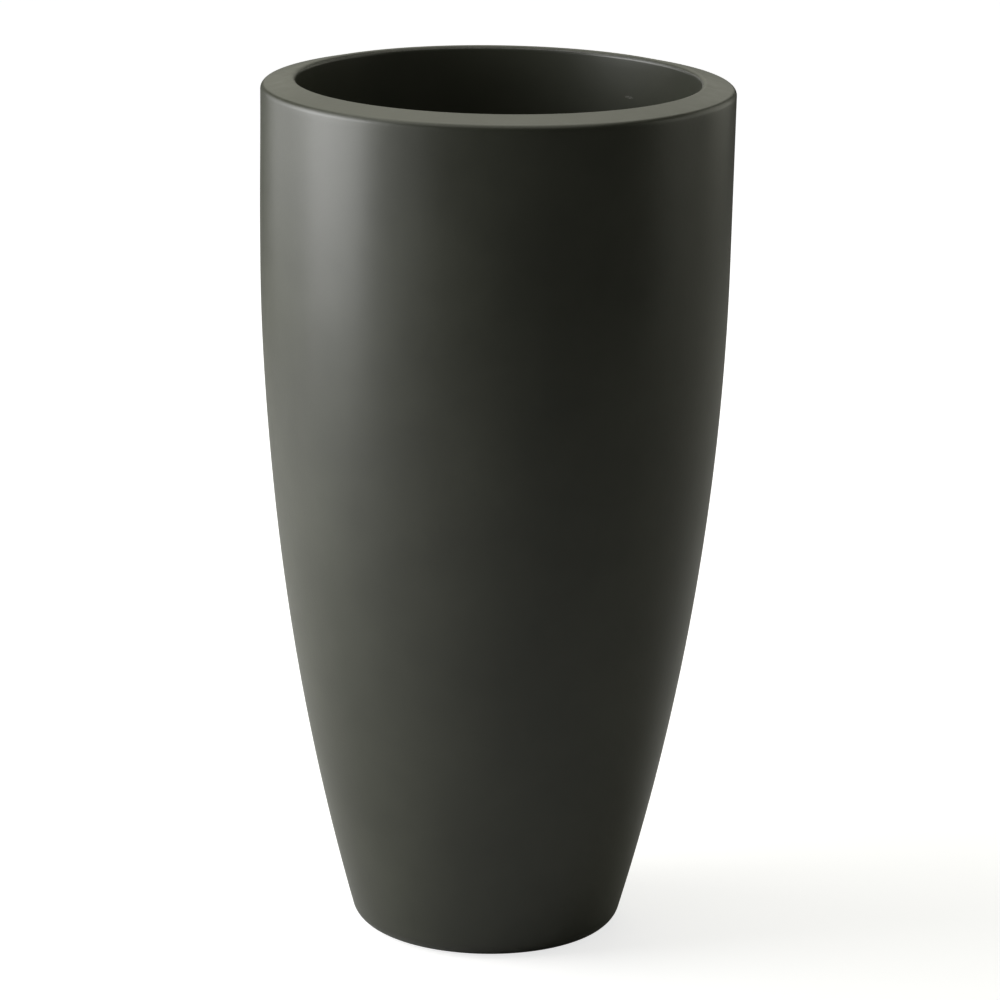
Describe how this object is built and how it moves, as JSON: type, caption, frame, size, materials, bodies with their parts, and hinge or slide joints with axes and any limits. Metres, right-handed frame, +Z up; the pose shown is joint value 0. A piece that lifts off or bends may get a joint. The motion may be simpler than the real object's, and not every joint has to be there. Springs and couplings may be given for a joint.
{
  "type": "tall floor planter",
  "caption": "Tall round planter with a swelling tapered body, straight collar, outward-sloping flat rim with a deep inner skirt, dished floor and a lift-out drain plug.",
  "frame": {"origin": "centre of the foot, on the ground plane", "axes": "+Z up along the planter's axis of revolution; X and Y are level, and the drain plug's flat finger tab lies along X"},
  "size_m": [0.431, 0.431, 0.8],
  "materials": {
    "painted_laminate": "satin charcoal two-pack paint with an olive cast over hand-laid fibreglass laminate, faint orange peel",
    "bonding_paste": "grey filled polyester bonding paste, spread and left as squeezed out",
    "flow_coated_laminate": "black flow coat brushed over chopped-strand laminate, the strand pattern showing through",
    "black_rubber": "moulded black rubber, matt"
  },
  "bodies": {
    "planter": {"outer_shell": "painted_laminate", "rim_moulding": "painted_laminate", "rim_bond": "bonding_paste", "floor_pan": "flow_coated_laminate", "floor_bond": "flow_coated_laminate"},
    "plug": {"drain_plug": "black_rubber"}
  },
  "joints": [
    {"name": "plug_lift", "type": "slide", "parent": "planter", "child": "plug", "axis": [0, 0, 1], "range_m": [0, 0.06]}
  ]
}
